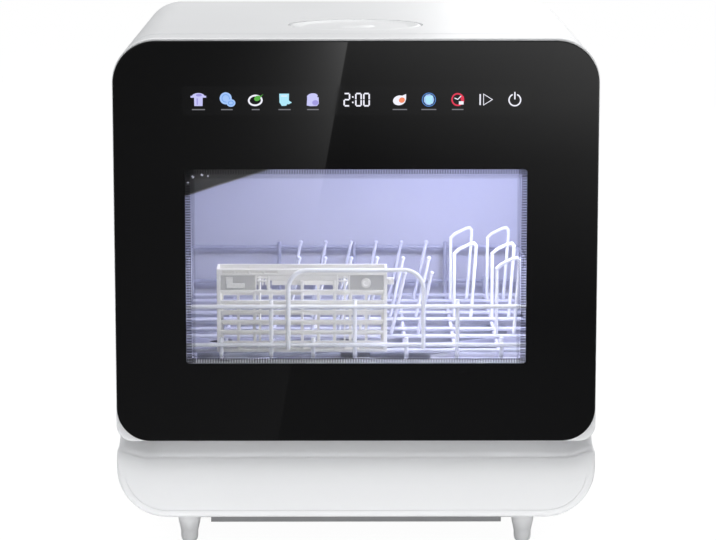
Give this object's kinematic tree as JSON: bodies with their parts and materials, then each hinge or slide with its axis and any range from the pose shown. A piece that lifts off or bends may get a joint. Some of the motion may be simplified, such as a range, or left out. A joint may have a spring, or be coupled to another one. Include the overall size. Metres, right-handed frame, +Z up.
{
  "type": "countertop dishwasher",
  "caption": "Box-shaped countertop dishwasher with a drop-down black glass door and window, round filler lid, wire rack, cutlery basket and spray arms.",
  "frame": {"origin": "middle of the footprint, on the surface that the feet stand on", "axes": "+Z up, -Y out of the glass door, +X to the right of someone who faces the door"},
  "size_m": [0.42, 0.435, 0.45],
  "materials": {
    "white_shell": "satin",
    "rear_grey": "matte",
    "base_grey": "matte",
    "foot_white": "satin",
    "tub_liner": "satin",
    "seal_grey": "matte",
    "inner_grey": "matte",
    "filter_steel": "brushed",
    "arm_grey": "satin",
    "tank_clear": "satin",
    "pump_dark": "matte",
    "hose_grey": "matte",
    "board_green": "satin",
    "valve_blue": "satin",
    "smoked": "gloss",
    "lamp_white": "gloss",
    "bright_steel": "satin",
    "black_glass": "gloss",
    "clear_glass": "gloss",
    "wire_white": "gloss",
    "basket_cream": "satin"
  },
  "bodies": {
    "cabinet": {"cabinet_shell": "white_shell", "rear_panel": "rear_grey", "lower_front_panel": "white_shell", "base_pan": "base_grey", "feet": "foot_white", "tub": "tub_liner", "door_gasket": "seal_grey", "sump": "inner_grey", "fine_filter": "filter_steel", "spray_hub": "inner_grey", "upper_feed_pipe": "inner_grey", "water_tank": "tank_clear", "filler_funnel": "white_shell", "circulation_pump": "pump_dark", "heater": "bright_steel", "drain_pump": "pump_dark", "inlet_pump": "pump_dark", "drying_fan": "pump_dark", "power_board": "board_green", "pressure_hoses": "hose_grey", "drain_hose": "hose_grey", "tank_hoses": "hose_grey", "inlet_valve": "valve_blue", "drain_spigot": "pump_dark", "mains_gland": "pump_dark", "lamp_cover": "smoked", "lamp_strip": "lamp_white", "door_lock": "pump_dark", "hinge_brackets": "bright_steel"},
    "door": {"door_glass": "black_glass", "door_frame": "white_shell", "door_inner_panel": "tub_liner", "window_frame": "inner_grey", "inner_window": "clear_glass", "light_guide": "lamp_white", "control_board": "board_green", "detergent_dispenser": "inner_grey", "door_hook": "pump_dark"},
    "detergent_cover": {"dispenser_slide": "foot_white"},
    "rack": {"rack_front": "wire_white", "rack_rear": "wire_white", "rack_left": "wire_white", "rack_right": "wire_white", "rack_floor": "wire_white", "rack_handle": "wire_white", "tine_row_front": "wire_white", "tine_row_middle": "wire_white", "tine_row_rear": "wire_white", "cup_loops": "wire_white", "rack_rollers": "inner_grey"},
    "basket": {"cutlery_basket": "basket_cream", "basket_front_wall": "basket_cream", "basket_rear_wall": "basket_cream"},
    "lower_arm": {"lower_spray_arm": "arm_grey", "lower_arm_nut": "inner_grey"},
    "upper_arm": {"upper_spray_arm": "arm_grey", "upper_arm_nut": "inner_grey"},
    "lid": {"filler_lid": "white_shell", "lid_seal": "seal_grey"},
    "filter": {"filter_cup": "inner_grey"}
  },
  "joints": [
    {"name": "door_hinge", "type": "hinge", "parent": "cabinet", "child": "door", "pos_m": [0, -0.1895, 0.116], "axis": [1, 0, 0], "range_deg": [0, 90]},
    {"name": "rack_slide", "type": "slide", "parent": "cabinet", "child": "rack", "axis": [0, -1, 0], "range_m": [0, 0.24]},
    {"name": "basket_lift", "type": "slide", "parent": "rack", "child": "basket", "axis": [0, 0, 1], "range_m": [0, 0.055]},
    {"name": "lower_arm_spin", "type": "hinge", "parent": "cabinet", "child": "lower_arm", "pos_m": [0, 0.0175, 0.142], "axis": [0, 0, 1], "continuous": true},
    {"name": "upper_arm_spin", "type": "hinge", "parent": "cabinet", "child": "upper_arm", "pos_m": [0, 0.0175, 0.37], "axis": [0, 0, 1], "continuous": true},
    {"name": "lid_lift", "type": "slide", "parent": "cabinet", "child": "lid", "axis": [0, 0, 1], "range_m": [0, 0.06]},
    {"name": "filter_turn", "type": "hinge", "parent": "cabinet", "child": "filter", "pos_m": [0, -0.0205, 0.1265], "axis": [0, 0, 1], "range_deg": [0, 90]},
    {"name": "detergent_cover_slide", "type": "slide", "parent": "door", "child": "detergent_cover", "axis": [1, 0, 0], "range_m": [0, 0.048]}
  ],
  "couplings": [
    {"joint": "rack_slide", "follows": "door_hinge", "m_per_rad": 0.05}
  ]
}
